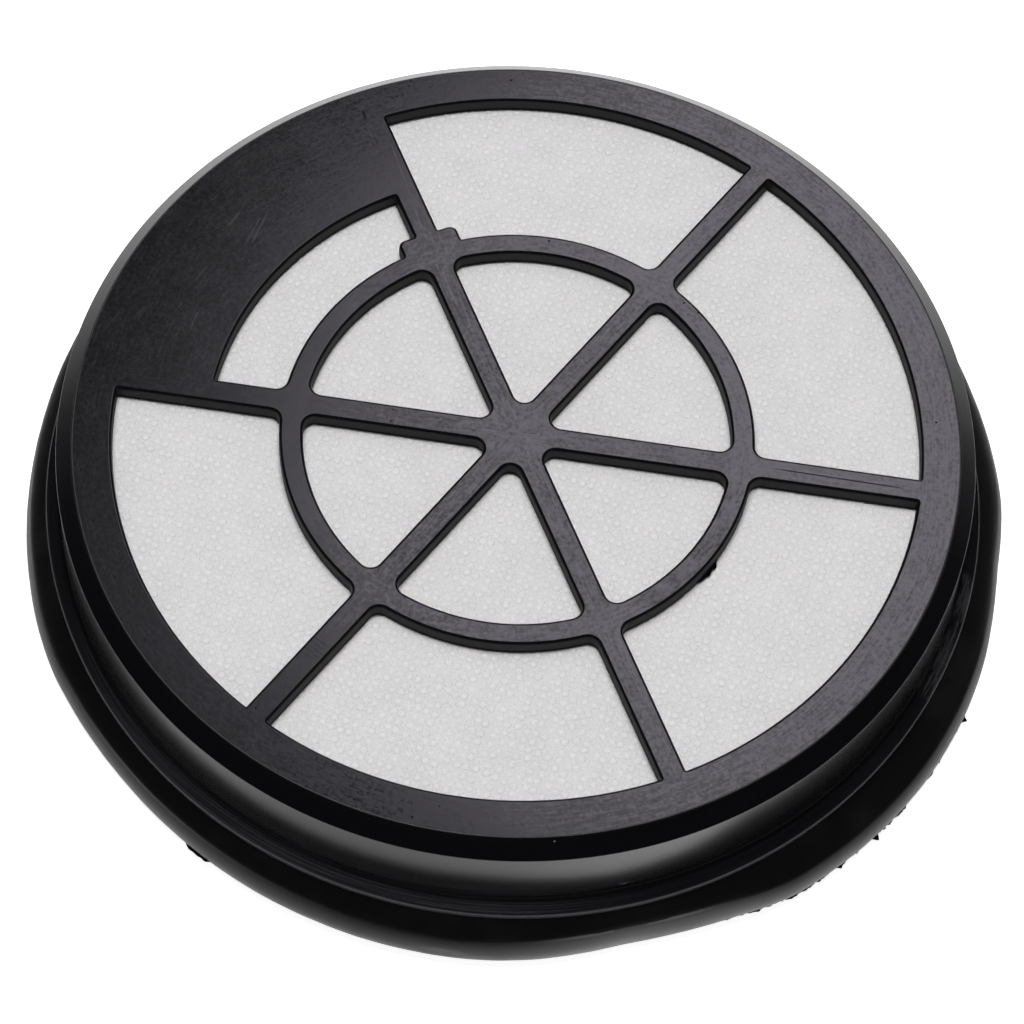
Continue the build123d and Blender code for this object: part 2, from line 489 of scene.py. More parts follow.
def moulded_plastic(finish, sizes):
    """Satin black moulding: blotchy grain, and rub marks along rings and spokes; painted highlight lines
    along the flange and the face's outer edge, painted sheen on the lower side wall and ledge; duller window
    walls, with painted shade at their foot and in the corner above the ledge.
    """
    material, start, shader = new_material("moulded_plastic")
    at = FramePlace(start, sizes)
    streak = plastic_streaks(start, at)
    grain = mottle(start, at.place, 1.5, 3.0, 0.72)
    cloud = mottle(start, at.place, 0.13, 1.0)
    marks = plastic_marks(start, at, grain, streak, cloud)
    # The colour is greyed by real rub marks and dust, and off the face by painted highlight and sheen
    rubbed = weighed(RUB_ON_FACE, marks) * at.on_face + weighed(RUB_AND_SHEEN_ELSEWHERE, marks)
    rubbed = rubbed.math("MINIMUM", MOST_RUBBED)
    wear = at.x.ramp(*WORN_SIDE) + 0.13
    worn = ((grain - 0.5) * 0.38 + (streak - 0.5) * 0.32) * wear + (cloud - 0.5) * 0.06
    worn = worn + weighed(WORN_ON_FACE, marks)
    roughness = SMOOTH + worn * at.on_face + weighed(DULLER, marks)
    relief = (grain - marks["pits"] * 3.0) * at.on_face
    dress(start, shader, {
        "Base Color": mix_colour(start, rubbed, finish.plastic, finish.plastic_rub_and_sheen, False),
        "Roughness": roughness.math("MAXIMUM", SMOOTHEST),
        "Normal": bump(start, relief, 0.10, 0.03 * MM),
        "IOR": 1.55,
    })
    # The window walls are half a matte near-black, and wholly so at their foot; there, and in the corner
    # between side wall and ledge, the near-black is painted shade
    dull = start.node("ShaderNodeBsdfDiffuse", None, {"Color": opaque(finish.plastic_dull)})
    corner_shade = at.z.near(*CORNER_SHADE_HEIGHT) * at.radius.ramp(*WALL_REACH) * at.radius.ramp(*CORNER_REACH)
    matte_and_painted_shade = at.in_window * (0.5 + at.z.ramp(*SHADED_FOOT_TOP) * 0.5) + corner_shade * 0.7
    mix_shader(start, matte_and_painted_shade, shader, dull)
    return material


# Other finishes

def seal_rubber(finish):
    """Black rubber with a soft sheen, faint flow lines round the ring and a dull bloom in patches."""
    material, start, shader = new_material("seal_rubber")
    place = object_place(start)
    x, y, z = parts_of(place)
    round_ring = vector_of(start, away_from(x, y) * 0.9, y.math("ARCTAN2", x) * 7.0, z * 0.9)
    flow = mottle(start, round_ring, 1.0, 3.0, 0.6)
    cloud = mottle(start, place, 0.09, 3.0, 0.55)
    grain = mottle(start, place, 2.2, 4.0, 0.6)
    bloom = cloud.ramp(0.48, 0.72) * 0.8 + flow.ramp(0.60, 0.75) * 0.3
    dress(start, shader, {
        "Base Color": mix_colour(start, bloom, finish.rubber, finish.rubber_bloom),
        "Roughness": 0.42 + (grain - 0.5) * 0.12 + bloom * 0.08,
        "Normal": bump(start, grain * 0.5 + flow, 0.08, 0.03 * MM),
        "IOR": 1.52,
    })
    return material


# Fleece: in spacings of the dots
DOT_JITTER = 0.42
DOT_FADE = (0.37, 0.05)
# Painted shade round a dot, darker on one side as if lit from the other: its radius, and how far from that it
# is gone and whole
DOT_SHADE_RING = (0.40, 0.14, 0.02)
# Way from a dot to the side where its painted shade is darkest, along the rows of dots and across them
DOT_SHADE = (-0.8, -0.6)


def bonded_fleece(finish, sizes):
    """White spunbond: pressed dots of uneven strength, painted lighter as a highlight on their raised tops
    and with painted shade round one side, crossed fibres, thin and thick places.
    """
    material, start, shader = new_material("bonded_fleece")
    place = object_place(start)
    x, y, _ = parts_of(place)
    pitch = sizes.dot_pitch / MM
    u = (x * cos(sizes.dot_turn) + y * sin(sizes.dot_turn)) / pitch + DOT_JITTER / 2
    v = (y * cos(sizes.dot_turn) - x * sin(sizes.dot_turn)) / pitch + DOT_JITTER / 2
    lattice = {"Vector": vector_of(start, u, v), "Scale": 1.0, "Randomness": DOT_JITTER}
    spots = start.node("ShaderNodeTexVoronoi", {"voronoi_dimensions": "2D"}, lattice)
    from_dot = spots.also("Distance")
    luck, slack, _ = parts_of(spots.also("Color"))
    dot_u, dot_v, _ = parts_of(spots.also("Position"))
    side = ((u - dot_u) * DOT_SHADE[0] + (v - dot_v) * DOT_SHADE[1]) / from_dot.math("MAXIMUM", 0.05)
    dot = from_dot.ramp(*DOT_FADE) * (luck.ramp(0.0, 1.0) * 0.75 + 0.25)
    painted_dot_shade = from_dot.near(*DOT_SHADE_RING) * (side.ramp(-0.9, 0.9) * 0.55 + 0.45) * slack.ramp(-0.2, 1.0)
    fibres = mottle(start, vector_of(start, x * 3.3 + y * 0.6, y * 2.3 - x * 0.8), 1.0, 3.0, 0.85)
    cloud = mottle(start, place, 0.16, 1.0)
    # The colour is lighter on each dot, a painted highlight on its raised top, and darker round one side of
    # it, painted shade
    light = 0.54 + dot * 0.38 - painted_dot_shade * 0.32 + (fibres - 0.5) * 2.5 + (cloud - 0.5) * 0.30
    light = light.math("MAXIMUM", 0.0).math("MINIMUM", 1.0)
    dress(start, shader, {
        "Base Color": mix_colour(start, light, finish.fleece_thin, finish.fleece),
        "Roughness": 0.80 - dot * 0.35,
        "Normal": bump(start, fibres + dot * 0.6, 0.8, 0.14 * MM),
        "IOR": 1.45,
    })
    return material


def pleat_paper(finish):
    """Off-white filter paper with matted fibres and slightly darker streaks that run along the folds."""
    material, start, shader = new_material("pleat_paper")
    place = object_place(start)
    x, y, z = parts_of(place)
    fibres = mottle(start, vector_of(start, x * 2.0, y * 0.9, z * 2.0), 1.0, 5.0, 0.65)
    cloud = mottle(start, place, 0.12, 3.0, 0.5)
    shade = fibres.ramp(0.45, 0.75) * 0.5 + cloud.ramp(0.40, 0.80) * 0.4
    darker = [0.88 * part for part in finish.paper]
    dress(start, shader, {
        "Base Color": mix_colour(start, shade, finish.paper, darker),
        "Roughness": 0.86 - fibres * 0.08,
        "Normal": bump(start, fibres, 0.5, 0.08 * MM),
        "IOR": 1.45,
    })
    return material


def set_hot_melt(finish):
    """Set hot-melt: milky, waxy gloss, with tiny bubbles."""
    material, start, shader = new_material("set_hot_melt")
    place = object_place(start)
    cloud = mottle(start, place, 0.35, 3.0, 0.5)
    bubbles = scattered(start, place, 0.8).ramp(0.22, 0.12)
    thin = cloud.ramp(0.35, 0.7) * 0.6 + bubbles * 0.3
    clear = [0.80 * part for part in finish.hot_melt]
    dress(start, shader, {
        "Base Color": mix_colour(start, thin, finish.hot_melt, clear),
        "Roughness": 0.32 + cloud * 0.12,
        "Normal": bump(start, cloud - bubbles * 0.4, 0.5, 0.15 * MM),
        "IOR": 1.48,
    })
    return material


# Mesh building

def add_piece(name, mesh, material):
    """An object with this mesh and finish, in the scene at the origin."""
    piece = bpy.data.objects.new(name, mesh)
    bpy.context.scene.collection.objects.link(piece)
    mesh.materials.clear()
    mesh.materials.append(material)
    return piece


def smooth(mesh):
    """Smooth shading on every face."""
    mesh.polygons.foreach_set("use_smooth", [True] * len(mesh.polygons))


SHARP_EDGE = radians(50)


def mesh_of(shell, name):
    """A mesh from a bmesh, which is freed."""
    made = bpy.data.meshes.new(name)
    shell.to_mesh(made)
    shell.free()
    return made


def skin_of(shell, name):
    """A mesh from a bmesh, facing outwards, smooth but for its sharp edges."""
    bmesh.ops.recalc_face_normals(shell, faces=shell.faces[:])
    for edge in shell.edges:
        edge.smooth = edge.calc_face_angle(0) < SHARP_EDGE
    made = mesh_of(shell, name)
    smooth(made)
    return made


def rounded_section(corners, steps):
    """Points (r, z) and outward normals of an open section, walked with the outside on the left.

    Each corner is (r, z, rounding); the first and last are ends."""
    section = []
    for before, here, after in zip(corners, corners[1:], corners[2:]):
        corner = Vector(here[:2])
        way_in = (corner - Vector(before[:2])).normalized()
        way_out = (Vector(after[:2]) - corner).normalized()
        bend = atan2(way_in.cross(way_out), way_in.dot(way_out))
        side = 1 if bend < 0 else -1
        normal = Vector((-way_in.y, way_in.x))
        start = corner - way_in * here[2] * tan(abs(bend) / 2)
        centre = start - normal * here[2] * side
        for step in range(steps + 1):
            turned = Matrix.Rotation(bend * step / steps, 2) @ normal
            section.append((centre + turned * here[2] * side, turned))
    first, last = corners[0], corners[-1]
    section.insert(0, (Vector(first[:2]), section[0][1]))
    section.append((Vector(last[:2]), section[-1][1]))
    return section


# Kind of output and closeness of points for the triangulation
CDT_INSIDE = 1
CDT_CLOSE = 1e-6


class Shell:
    """A closed mesh that grows loop by loop, with the true normal of every point."""

    def __init__(self):
        self.mesh = bmesh.new()
        self.normals = []

    def loop(self, places):
        """Add one closed loop of (point, normal) and return its vertices."""
        made = []
        for point, normal in places:
            made.append(self.mesh.verts.new(point))
            self.normals.append(normal)
        return made

    def join(self, loops):
        """Faces between each loop and the next."""
        for lower, upper in zip(loops, loops[1:]):
            for k in range(len(lower)):
                after = (k + 1) % len(lower)
                self.mesh.faces.new((lower[k], lower[after], upper[after], upper[k]))

    def fill(self, loops):
        """Level face bounded by these loops, all but the first of which are holes."""
        verts = [vert for ring in loops for vert in ring]
        outlines, first = [], 0
        for ring in loops:
            outlines.append(list(range(first, first + len(ring))))
            first += len(ring)
        plan = [vert.co.xy / MM for vert in verts]
        _, _, faces, corners_of, _, outlines_of = delaunay_2d_cdt(plan, [], outlines, CDT_INSIDE, CDT_CLOSE)
        for face, inside in zip(faces, outlines_of):
            if list(inside) == [0]:
                self.mesh.faces.new([verts[corners_of[corner][0]] for corner in face])

    def finish(self, name):
        """The mesh, facing outwards, with its normals."""
        bmesh.ops.recalc_face_normals(self.mesh, faces=self.mesh.faces[:])
        made = mesh_of(self.mesh, name)
        smooth(made)
        made.normals_split_custom_set_from_vertices(self.normals)
        return made


# Moulded frame

ARC_STEP = 0.45 * MM
SAME_PLACE = 0.001 * MM
EDGE_STEPS = 4
RIM_SEGMENTS = 420


def arc(centre, radius, start, end, faces_centre):
    """Points of an arc with the vectors that point into the window, on its centre's side or not."""
    steps = max(EDGE_STEPS, ceil(abs(end - start) * radius / ARC_STEP))
    points = []
    for step in range(steps + 1):
        angle = start + (end - start) * step / steps
        way = Vector((cos(angle), sin(angle)))
        points.append((centre + way * radius, -way if faces_centre else way))
    return points


def polar(point):
    """Angle of a point about the axis."""
    return atan2(point.y, point.x)


class Window:
    """One window of the grille, drawn about the +X axis between two spokes."""

    def __init__(self, sizes):
        self.sizes = sizes
        self.half = pi / sizes.spoke_count
        self.along = Vector((cos(self.half), sin(self.half)))
        self.aside = Vector((sin(self.half), -cos(self.half)))
        self.axis = Vector((0, 0))

    def beside_spoke(self, from_axis, rounding, offset=None):
        """Centre of a rounding that touches the spoke, or a line beside it, at a distance from the axis."""
        offset = (self.sizes.spoke_width / 2 if offset is None else offset) + rounding
        return self.along * sqrt(from_axis**2 - offset**2) + self.aside * offset

    def far_half(self, far_radius, rounding):
        """From the middle of the far arc to the spoke."""
        centre = self.beside_spoke(far_radius - rounding, rounding)
        points = arc(self.axis, far_radius, 0, polar(centre), True)
        return points + arc(centre, rounding, polar(centre), self.half + pi / 2, True)

    def hub_half(self):
        """Upper half of a window inside the inner ring."""
        sizes = self.sizes
        reach = (sizes.spoke_width / 2 + sizes.hub_fillet) / sin(self.half)
        points = self.far_half(sizes.ring_inside, sizes.ring_fillet)
        return points + arc(Vector((reach, 0)), sizes.hub_fillet, self.half + pi / 2, pi, True)

    def outer_half(self, far_radius, tabbed):
        """Upper half of a window outside the inner ring, with the tab beside its spoke or without."""
        sizes = self.sizes
        near_radius = sizes.ring_inside + sizes.ring_width
        spoke_side, away = self.half + pi / 2, self.half + pi
        points = self.far_half(far_radius, sizes.window_corner)
        rounding, offset = sizes.ring_fillet, None
        if tabbed:
            rounding, offset = sizes.window_corner, sizes.tab_width / 2
            reach = near_radius + sizes.tab_reach
            inside = self.along * (reach + rounding) + self.aside * (sizes.spoke_width / 2 + rounding)
            points += arc(inside, rounding, spoke_side, away, True)
            corner = self.along * (reach - sizes.tab_corner) + self.aside * (offset - sizes.tab_corner)
            points += arc(corner, sizes.tab_corner, self.half, self.half - pi / 2, False)
        centre = self.beside_spoke(near_radius + rounding, rounding, offset)
        points += arc(centre, rounding, spoke_side, polar(centre) + pi, True)
        return points + arc(self.axis, near_radius, polar(centre), 0, False)


def window_outline(upper, lower, middle):
    """Whole outline from its upper half and the mirror image of its lower half, turned to its sector."""
    mirrored = [(Vector((p.x, -p.y)), Vector((n.x, -n.y))) for p, n in reversed(lower)]
    turned = Matrix.Rotation(middle, 2)
    outline = []
    for point, inward in upper[:-1] + mirrored[:-1]:
        if not outline or (turned @ point - outline[-1][0]).length > SAME_PLACE:
            outline.append((turned @ point, turned @ inward))
    return outline


def window_outlines(sizes):
    """Outlines of all the windows of the grille."""
    window = Window(sizes)
    panel_radius = sizes.ring_inside + sizes.ring_width + sizes.panel_gap
    outlines = []
    for sector in range(sizes.spoke_count):
        middle = (2 * sector + 1) * window.half
        hub = window.hub_half()
        outlines.append(window_outline(hub, hub, middle))
        far = panel_radius if sector == sizes.panel_sector else sizes.face_radius - sizes.rim_width
        upper = window.outer_half(far, sector + 1 == sizes.panel_sector)
        lower = window.outer_half(far, sector == sizes.panel_sector)
        outlines.append(window_outline(upper, lower, middle))
    return outlines


def window_wall(shell, outline, sizes):
    """Wall of one window with its upper and lower edges rounded; returns its top and bottom loops."""
    loops = []
    for step in range(2 * EDGE_STEPS + 2):
        lower = step > EDGE_STEPS
        angle = pi / 2 * (step - lower) / EDGE_STEPS
        rounding = sizes.under_round if lower else sizes.edge_round
        inset = rounding * (1 - sin(angle))
        if lower:
            height = GRILLE_UNDER_Z + rounding * (1 + cos(angle))
        else:
            height = TOP_Z - rounding * (1 - cos(angle))
        places = []
        for point, inward in outline:
            flat = point - inward * inset
            normal = Vector((*(inward * sin(angle)), cos(angle)))
            places.append((Vector((*flat, height)), normal))
        loops.append(shell.loop(places))
    shell.join(loops)
    return loops[0], loops[-1]


# Flat that the rim adds to the grille inside its edge
RIM_FLAT = 1.0 * MM
# Roundings of the rim's corners, from the face down the outside and up the inside
FACE_ROUND, CHAMFER_ROUND, LEDGE_ROUND = 0.45 * MM, 0.28 * MM, 0.35 * MM
FLANGE_ROUND, FLANGE_UNDER_ROUND = 0.16 * MM, 0.14 * MM
SPIGOT_ROUND, BORE_ROUND = 0.3 * MM, 0.4 * MM


def rim_section(sizes):
    """Section of the rim from the face down the outside, under the foot and up the inside."""
    wall_r = sizes.face_radius + sizes.rim_chamfer
    spigot_r = wall_r - sizes.spigot_step
    inner_r = spigot_r - sizes.wall_thickness
    flange_top = FLANGE_UNDER_Z + sizes.flange_edge
    corners = [
        (sizes.face_radius - RIM_FLAT, TOP_Z, 0),
        (sizes.face_radius, TOP_Z, FACE_ROUND),
        (wall_r, TOP_Z - sizes.rim_chamfer, CHAMFER_ROUND),
        (wall_r, flange_top + sizes.ledge_drop, LEDGE_ROUND),
        (FLANGE_R, flange_top, FLANGE_ROUND),
        (FLANGE_R, FLANGE_UNDER_Z, FLANGE_UNDER_ROUND),
        (spigot_r, FLANGE_UNDER_Z, SPIGOT_ROUND),
        (spigot_r, 0, SPIGOT_ROUND),
        (inner_r, 0, SPIGOT_ROUND),
        (inner_r, GRILLE_UNDER_Z, BORE_ROUND),
        (inner_r - RIM_FLAT, GRILLE_UNDER_Z, 0),
    ]
    return rounded_section(corners, EDGE_STEPS)


# Torn flash on round walls: radius and height (mm), first and last angle (degrees) and reach (mm)
BURRS = ((37.55, 26.95, 326.5, 335.0, 0.8), (72.70, 15.2, 291.0, 292.2, 0.2))
BURR_STEPS = 40
BURR_ROOT = 0.1
BURR_THICK = 0.3 * MM


def burr(shell, seed, radius, height, start, end, reach):
    """Thin ragged fin that stands out from a round wall."""
    rows = []
    up = Vector((0, 0, 1))
    for step in range(BURR_STEPS + 1):
        share = step / BURR_STEPS
        angle = radians(start + (end - start) * share)
        way = Vector((cos(angle), sin(angle), 0))
        ragged = 0.6 + 0.7 * noise.noise(Vector((share * 4.5, seed, 2.3)))
        ragged += 0.15 * noise.noise(Vector((share * 17, seed, 5.1)))
        tip = reach * max(0.04, ragged) * sin(pi * share) ** 0.6
        lift = up * height * MM
        base = way * (radius - BURR_ROOT) * MM + lift
        edge = way * (radius + tip) * MM + lift
        thick = up * BURR_THICK
        rows.append(shell.loop([(base + thick, up), (edge, way), (base - thick, -up)]))
    shell.join(rows)
    shell.mesh.faces.new(rows[0])
    shell.mesh.faces.new(rows[-1])


def frame_mesh(sizes):
    """The whole moulding: grille with its windows, rim, side wall, flange and spigot."""
    shell = Shell()
    tops, bottoms = [], []
    for outline in window_outlines(sizes):
        top, bottom = window_wall(shell, outline, sizes)
        tops.append(top)
        bottoms.append(bottom)
    loops = []
    for point, normal in rim_section(sizes):
        places = []
        for k in range(RIM_SEGMENTS):
            way = Vector((cos(2 * pi * k / RIM_SEGMENTS), sin(2 * pi * k / RIM_SEGMENTS)))
            places.append((Vector((*(way * point.x), point.y)), Vector((*(way * normal.x), normal.y))))
        loops.append(shell.loop(places))
    shell.join(loops)
    shell.fill([loops[0], *tops])
    shell.fill([loops[-1], *bottoms])
    for number, place in enumerate(BURRS):
        burr(shell, number, *place)
    return shell.finish("grille_moulding")


class FILTER_OT_mould_frame(bpy.types.Operator):
    """Mould the grille frame"""

    bl_idname = "exhaust_filter.mould_frame"
    bl_label = "Mould the frame"

    def execute(self, context):
        scene = context.scene
        material = moulded_plastic(scene.filter_finishes, scene.filter_frame)
        piece = add_piece("grille_moulding", frame_mesh(scene.filter_frame), material)
        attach(piece, ROOT_BODY)
        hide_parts("grille_frame")
        return {"FINISHED"}


# Rubber seal

SEAL_SEGMENTS = 540
BULGE_STEPS = 24
SHOULDER_STEPS = 8
# Where the rounded outside passes into the sloping shoulder, as a share of its sweep
SHOULDER = 0.52
GROOVE_DEPTH = 0.23 * MM
# How far the soft ring stands out (mm) at angles round it (degrees)
SEAL_SWELLS = (
    (0, 0.0), (4, 0.2), (10, 0.55), (25, 0.1), (60, 0.0), (130, -0.3), (165, -0.65), (180, -0.8),
    (197, -0.3), (210, 0.1), (216, -0.2), (227, -0.6), (251, -0.25), (269, 0.1), (279, -0.1), (287, -0.85),
    (292, -1.25), (299, -0.6), (305, 0.3), (311, 1.45), (315, 1.6), (333, 1.7), (347, 1.05), (354, 0.4),
    (360, 0.0),
)
# Torn places of the moulding flash: angle and half width in degrees, reach in millimetres
FLASH_TEARS = (
    (238.6, 0.7, 0.55), (239.9, 0.8, 0.6), (241.0, 0.5, 0.5), (323.3, 0.4, 0.85), (341.6, 0.35, 0.8),
)
# Degrees between which the flash stands out, and over which it grows at either end
FLASH_SPAN = (300.0, 352.0)
FLASH_GROWTH = 8
FLASH_SEGMENTS = 2160
FLASH_ROOT = 0.12 * MM
FLASH_DROOP = 0.15 * MM
# How far the flat top and the groove end inside the flange, and how straight the shoulder leaves the outside
TOP_INSET, GROOVE_INSET, SHOULDER_PULL = 0.3 * MM, 0.05 * MM, 1.0 * MM
# Gap that the swollen ring keeps inside the packed box
BOX_MARGIN = 0.02 * MM


def angle_gap(angle, centre):
    """Degrees from one angle to another the short way round."""
    return (angle - centre + 180) % 360 - 180


def humps(angle, table):
    """Sum of rounded humps, each (angle, half width, height)."""
    return sum(height * exp(-((angle_gap(angle, centre) / width) ** 2)) for centre, width, height in table)


def seal_section(sizes, frame_sizes):
    """Section of the seal, from its flat top over the bulge to its underside, with shares of the swell."""
    edge_r = SEAL_HIGH.x
    seat_r = FLANGE_R - frame_sizes.flange_width - frame_sizes.spigot_step + sizes.seat_clearance
    flat_r = seat_r - sizes.seat_clearance + sizes.top_width
    middle_z = (SEAL_LOW.z + SEAL_HIGH.z) / 2
    half = (SEAL_HIGH.z - SEAL_LOW.z) / 2
    bulge = edge_r - flat_r
    radius = (half**2 + bulge**2) / (2 * bulge)
    sweep = atan2(half, radius - bulge)
    shoulder = sweep * SHOULDER
    leave = Vector((edge_r - radius + radius * cos(shoulder), middle_z + radius * sin(shoulder)))
    groove = Vector((FLANGE_R - GROOVE_INSET, SEAL_HIGH.z - GROOVE_DEPTH))
    steer = leave + Vector((-sin(shoulder), cos(shoulder))) * SHOULDER_PULL
    section = [(seat_r, SEAL_HIGH.z, 0.0), (FLANGE_R - TOP_INSET, SEAL_HIGH.z, 0.0)]
    for step in range(SHOULDER_STEPS):
        t = step / SHOULDER_STEPS
        point = groove * (1 - t) ** 2 + steer * 2 * t * (1 - t) + leave * t**2
        section.append((*point, 0.02 + 0.6 * t))
    for step in range(BULGE_STEPS + 1):
        angle = shoulder - (shoulder + sweep) * step / BULGE_STEPS
        point = (edge_r - radius + radius * cos(angle), middle_z + radius * sin(angle))
        section.append((*point, 0.35 + 0.65 * cos(angle * pi / 2 / sweep)))
    section += [((seat_r + flat_r) / 2, SEAL_LOW.z, 0.1), (seat_r, SEAL_LOW.z, 0.0)]
    return section


def flash_reach(angle, sizes):
    """Reach of the thin moulding flash at an angle in degrees."""
    ragged = 0.9 * noise.noise(Vector((angle * 0.7, 3.1, 7.7)))
    ragged += 0.7 * noise.noise(Vector((angle * 2.6, 8.2, 1.4)))
    inside = 1
    for gap in (angle - FLASH_SPAN[0], FLASH_SPAN[1] - angle):
        inside *= min(1, max(0, gap / FLASH_GROWTH))
    return sizes.flash_reach * inside * max(0, 0.70 + ragged) + humps(angle, FLASH_TEARS) * MM - FLASH_ROOT


def seal_swell(way, angle):
    """How far the soft ring stands out at an angle in degrees."""
    (last_angle, last), (first_angle, first) = SEAL_SWELLS[-2], SEAL_SWELLS[1]
    around = ((last_angle - 360, last), *SEAL_SWELLS, (first_angle + 360, first))
    for before, (low, first), (high, second), after in zip(around, around[1:], around[2:], around[3:]):
        if low <= angle <= high:
            span = high - low
            leave = (second - before[1]) / (high - before[0]) * span
            reach = (after[1] - first) / (after[0] - low) * span
            t = (angle - low) / span
            swell = first + (second - first) * t * t * (3 - 2 * t)
            swell += t * (1 - t) * (leave * (1 - t) - reach * t)
            ripple = 0.05 * noise.noise(way * 9) + 0.03 * noise.noise(way * 31)
            return (swell + ripple) * MM
    raise ValueError(f"no swell for {angle} degrees")


def lathe(shell, segments, section_at):
    """Closed ring of a section that may change from angle to angle, kept inside the packed box."""
    rings = []
    for k in range(segments):
        angle = 360 * k / segments
        way = Vector((cos(radians(angle)), sin(radians(angle)), 0))
        limit = min(SEAL_HIGH.x / max(abs(way.x), 0.1), SEAL_HIGH.y / max(abs(way.y), 0.1)) - BOX_MARGIN
        places = [way * min(r, limit) + Vector((0, 0, z)) for r, z in section_at(way, angle)]
        rings.append([shell.verts.new(place) for place in places])
    for ring, after in zip(rings, rings[1:] + rings[:1]):
        for k in range(len(ring)):
            shell.faces.new((ring[k - 1], ring[k], after[k], after[k - 1]))


def seal_mesh(sizes, frame_sizes):
    """The seal ring with its swells, and the flash on its lower flank as a second closed skin."""
    shell = bmesh.new()
    section = seal_section(sizes, frame_sizes)
    flank = min(section[SHOULDER_STEPS:], key=lambda point: abs(point[1] - sizes.flash_height) - point[0])

    def bead_at(way, angle):
        swell = seal_swell(way, angle)
        return [(r + swell * share, z) for r, z, share in section]

    def flash_at(way, angle):
        base = flank[0] + seal_swell(way, angle) * flank[2]
        tip = base + flash_reach(angle, sizes)
        droop = FLASH_DROOP * noise.noise(way * 40)
        root = base - 2 * FLASH_ROOT
        return [(root, flank[1] + FLASH_ROOT), (tip, flank[1] + droop), (root, flank[1] - FLASH_ROOT)]

    lathe(shell, SEAL_SEGMENTS, bead_at)
    lathe(shell, FLASH_SEGMENTS, flash_at)
    return skin_of(shell, "seal_bead")


class FILTER_OT_fit_seal(bpy.types.Operator):
    """Fit the rubber seal round the spigot"""

    bl_idname = "exhaust_filter.fit_seal"
    bl_label = "Fit the seal"

    def execute(self, context):
        scene = context.scene
        mesh = seal_mesh(scene.filter_seal, scene.filter_frame)
        piece = add_piece("seal_bead", mesh, seal_rubber(scene.filter_finishes))
        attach(piece, ROOT_BODY)
        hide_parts("seal_ring")
        return {"FINISHED"}


# Geometry trees

def geometry_tree(name, inputs):
    """A geometry tree with named inputs, each a number or a material, and a wire for each."""
    tree = bpy.data.node_groups.new(name, "GeometryNodeTree")
    tree.interface.new_socket("Geometry", in_out="OUTPUT", socket_type="NodeSocketGeometry")
    for label, kind in inputs.items():
        tree.interface.new_socket(label, in_out="INPUT", socket_type=kind)
    start = Wire(tree)
    given = start.node("NodeGroupInput")
    return tree, start, {label: given.also(label) for label in inputs}


def end_tree(start, mesh, material):
    """Realize, set the finish and send the mesh out."""
    real = start.node("GeometryNodeRealizeInstances", None, {0: mesh})
    finished = start.node("GeometryNodeSetMaterial", None, {"Geometry": real, "Material": material})
    start.node("NodeGroupOutput", None, {0: finished})


def grow_mesh(tree, values):
    """Plain mesh that a geometry tree makes with these inputs."""
    host = bpy.data.objects.new(tree.name, bpy.data.meshes.new(tree.name))
    bpy.context.scene.collection.objects.link(host)
    modifier = host.modifiers.new(tree.name, "NODES")
    modifier.node_group = tree
    for item in tree.interface.items_tree:
        if item.in_out == "INPUT":
            modifier[item.identifier] = values[item.name]
    evaluated = host.evaluated_get(bpy.context.evaluated_depsgraph_get())
    mesh = bpy.data.meshes.new_from_object(evaluated)
    host.modifiers.remove(modifier)
    bpy.data.objects.remove(host)
    return mesh


NUMBER = "NodeSocketFloat"
COUNT = "NodeSocketInt"
MATERIAL = "NodeSocketMaterial"


# Cover fleece

CELLS_PER_DOT = 3
# Cells past the edge whose faces are kept and pulled in, and reach of a raised dot in spacings of the dots
EDGE_SLACK = 0.3
DOT_REACH = 0.46
# Waves of the laid fleece and differences between its dots, per metre
SAG_SCALE, DOT_SCALE = 55.0, 900.0


def fleece_tree():
    """Round sheet on a square grid: each grid point near the middle of a cell of dots is raised."""
    tree, start, given = geometry_tree(
        "embossed_fleece",
        {
            "Radius": NUMBER, "Pitch": NUMBER, "Dot Height": NUMBER, "Turn": NUMBER, "Sag": NUMBER,
            "Top": NUMBER, "Cells": COUNT, "Finish": MATERIAL,
        },
    )
    span = given["Pitch"] * (given["Cells"] / CELLS_PER_DOT)
    points = given["Cells"] + 1
    square = {"Size X": span, "Size Y": span, "Vertices X": points, "Vertices Y": points}
    grid = start.node("GeometryNodeMeshGrid", None, square)
    x, y, _ = parts_of(start.node("GeometryNodeInputPosition"))
    radius = away_from(x, y)
    outside = radius.math("GREATER_THAN", given["Radius"] + given["Pitch"] / CELLS_PER_DOT * EDGE_SLACK)
    cut = {"Geometry": grid, "Selection": outside}
    kept = start.node("GeometryNodeDeleteGeometry", {"domain": "FACE"}, cut)
    u = x / given["Pitch"]
    v = y / given["Pitch"]
    dot = away_from(u - u.math("ROUND"), v - v.math("ROUND")).ramp(DOT_REACH, 0.0)
    trim = (given["Radius"] / radius.math("MAXIMUM", MM)).math("MINIMUM", 1.0)
    place = vector_of(start, x, y)
    wave = mottle(start, place, SAG_SCALE, 2.0)
    rough = mottle(start, place, DOT_SCALE, 2.0)
    low = given["Dot Height"] * 1.5 + given["Sag"]
    height = given["Top"] - low + dot * given["Dot Height"] * (rough * 0.9 + 0.55) + wave * given["Sag"]
    cosine, sine = given["Turn"].math("COSINE"), given["Turn"].math("SINE")
    turned = vector_of(start, (x * cosine - y * sine) * trim, (x * sine + y * cosine) * trim, height)
    placed = start.node("GeometryNodeSetPosition", None, {"Geometry": kept, "Position": turned})
    end_tree(start, placed, given["Finish"])
    return tree


